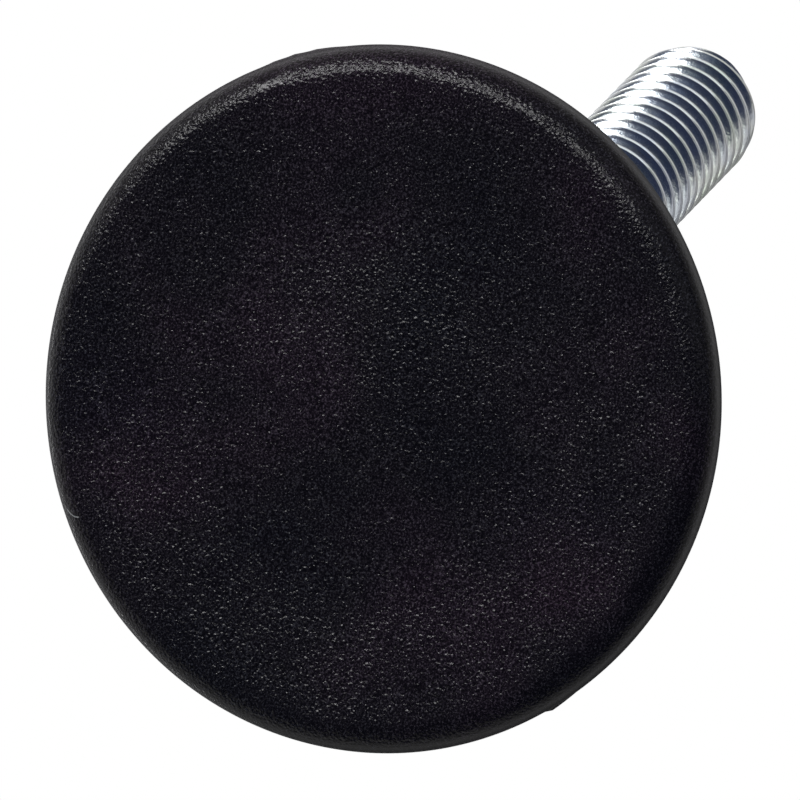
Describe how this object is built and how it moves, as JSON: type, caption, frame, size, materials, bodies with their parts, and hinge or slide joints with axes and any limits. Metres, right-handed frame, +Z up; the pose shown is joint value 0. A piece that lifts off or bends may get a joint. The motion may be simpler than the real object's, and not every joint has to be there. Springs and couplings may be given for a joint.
{
  "type": "adjusting screw",
  "caption": "Adjusting screw with a swivelling foot: a threaded steel stud with a hexagon and a ball end, snapped into a round black moulded foot plate.",
  "frame": {"origin": "centre of the foot plate's flat sole", "axes": "+Z up, away from the ground; at rest the screw leans from +Z towards +X, and +Y is the axis about which it tilts"},
  "size_m": [0.05, 0.05, 0.0629],
  "materials": {
    "plate_plastic": "black, spark-eroded grain",
    "zinc_steel": "bright zinc plate"
  },
  "bodies": {
    "foot": {"foot_plate": "plate_plastic"},
    "screw": {"adjusting_screw": "zinc_steel"}
  },
  "joints": [
    {"name": "screw_tilt", "type": "hinge", "parent": "foot", "child": "screw", "pos_m": [0, 0, 0.0095], "axis": [0, 1, 0], "range_deg": [-42, 0]}
  ]
}
